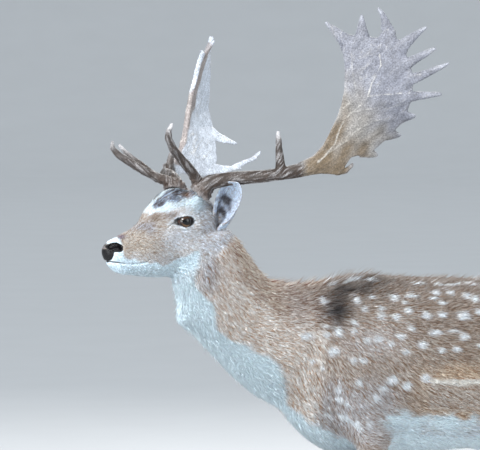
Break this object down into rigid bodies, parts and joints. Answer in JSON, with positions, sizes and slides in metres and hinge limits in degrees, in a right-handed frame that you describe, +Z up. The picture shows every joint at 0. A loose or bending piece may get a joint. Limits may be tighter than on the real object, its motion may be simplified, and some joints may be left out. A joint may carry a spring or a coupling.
{
  "type": "fallow deer",
  "caption": "Life-size standing fallow buck with broad palmate antlers and its head turned a little to its left.",
  "frame": {"origin": "on the floor, under the middle of the bounding box", "axes": "+Z up; the buck faces -X and its left side is -Y"},
  "size_m": [1.3266, 0.7626, 1.4744],
  "materials": {
    "coat": "short hair, brown with white spots",
    "pale_coat": "short pale hair",
    "antler": "hard antler, grooved and rough",
    "horn": "dark horn, satin",
    "nose": "bare, damp and finely pebbled",
    "eye": "wet and glossy"
  },
  "bodies": {
    "root": {"eye_left": "eye", "ear_left": "coat", "antler_left_palm": "antler", "antler_left_beam": "antler", "antler_left_brow_tine": "antler", "antler_left_trez_tine": "antler", "eye_right": "eye", "ear_right": "coat", "antler_right_palm": "antler", "antler_right_beam": "antler", "antler_right_brow_tine": "antler", "antler_right_second_brow_tine": "antler", "antler_right_trez_tine": "antler", "nose": "nose", "head": "coat", "neck": "coat", "shoulders": "coat", "barrel": "coat", "haunch_left": "coat", "foreleg_left_forearm": "coat", "foreleg_left_cannon": "pale_coat", "hindleg_left_gaskin": "coat", "hindleg_left_cannon": "pale_coat", "haunch_right": "coat", "foreleg_right_forearm": "coat", "foreleg_right_cannon": "pale_coat", "hindleg_right_gaskin": "coat", "hindleg_right_cannon": "pale_coat", "tail": "coat", "hoof_fore_left_inner": "horn", "dewclaw_fore_left_inner": "horn", "hoof_fore_left_outer": "horn", "dewclaw_fore_left_outer": "horn", "hoof_fore_right_inner": "horn", "dewclaw_fore_right_inner": "horn", "hoof_fore_right_outer": "horn", "dewclaw_fore_right_outer": "horn", "hoof_hind_left_inner": "horn", "dewclaw_hind_left_inner": "horn", "hoof_hind_left_outer": "horn", "dewclaw_hind_left_outer": "horn", "hoof_hind_right_inner": "horn", "dewclaw_hind_right_inner": "horn", "hoof_hind_right_outer": "horn", "dewclaw_hind_right_outer": "horn"}
  },
  "joints": []
}
